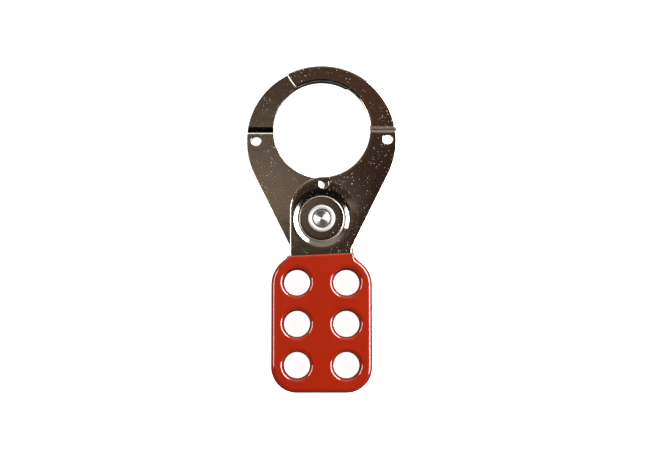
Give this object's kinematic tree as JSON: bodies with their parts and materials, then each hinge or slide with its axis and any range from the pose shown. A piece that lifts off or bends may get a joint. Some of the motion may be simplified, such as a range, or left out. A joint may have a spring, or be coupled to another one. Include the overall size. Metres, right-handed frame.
{
  "type": "lockout hasp",
  "caption": "Scissor-action steel lockout hasp: two hooked jaws crossing at a rivet, with vinyl-dipped handles whose padlock holes line up when it is closed.",
  "frame": {"origin": "centre of the round opening inside the closed jaws, midway through the hasp's thickness", "axes": "+Y up the hasp from the handles to the jaws, +Z square to the sheet towards the front stamping and the rivet's formed head, +X towards the front stamping's jaw"},
  "size_m": [0.0592, 0.1283, 0.0096],
  "materials": {
    "nickel_sheet": "nickel-plated, bright with fine scratches",
    "red_vinyl": "glossy dipped vinyl",
    "rivet_metal": "bright, turned face and rolled rim",
    "washer_metal": "nickel-plated, lightly worn"
  },
  "bodies": {
    "front_half": {"front_jaw_plate": "nickel_sheet", "front_handle_coating": "red_vinyl", "pivot_rivet": "rivet_metal", "front_washer": "washer_metal", "rear_washer": "washer_metal"},
    "rear_half": {"rear_jaw_plate": "nickel_sheet", "rear_handle_coating": "red_vinyl"}
  },
  "joints": [
    {"name": "jaw_pivot", "type": "hinge", "parent": "front_half", "child": "rear_half", "pos_m": [0, -0.0354, 0], "axis": [0, 0, 1], "range_deg": [0, 70]}
  ]
}
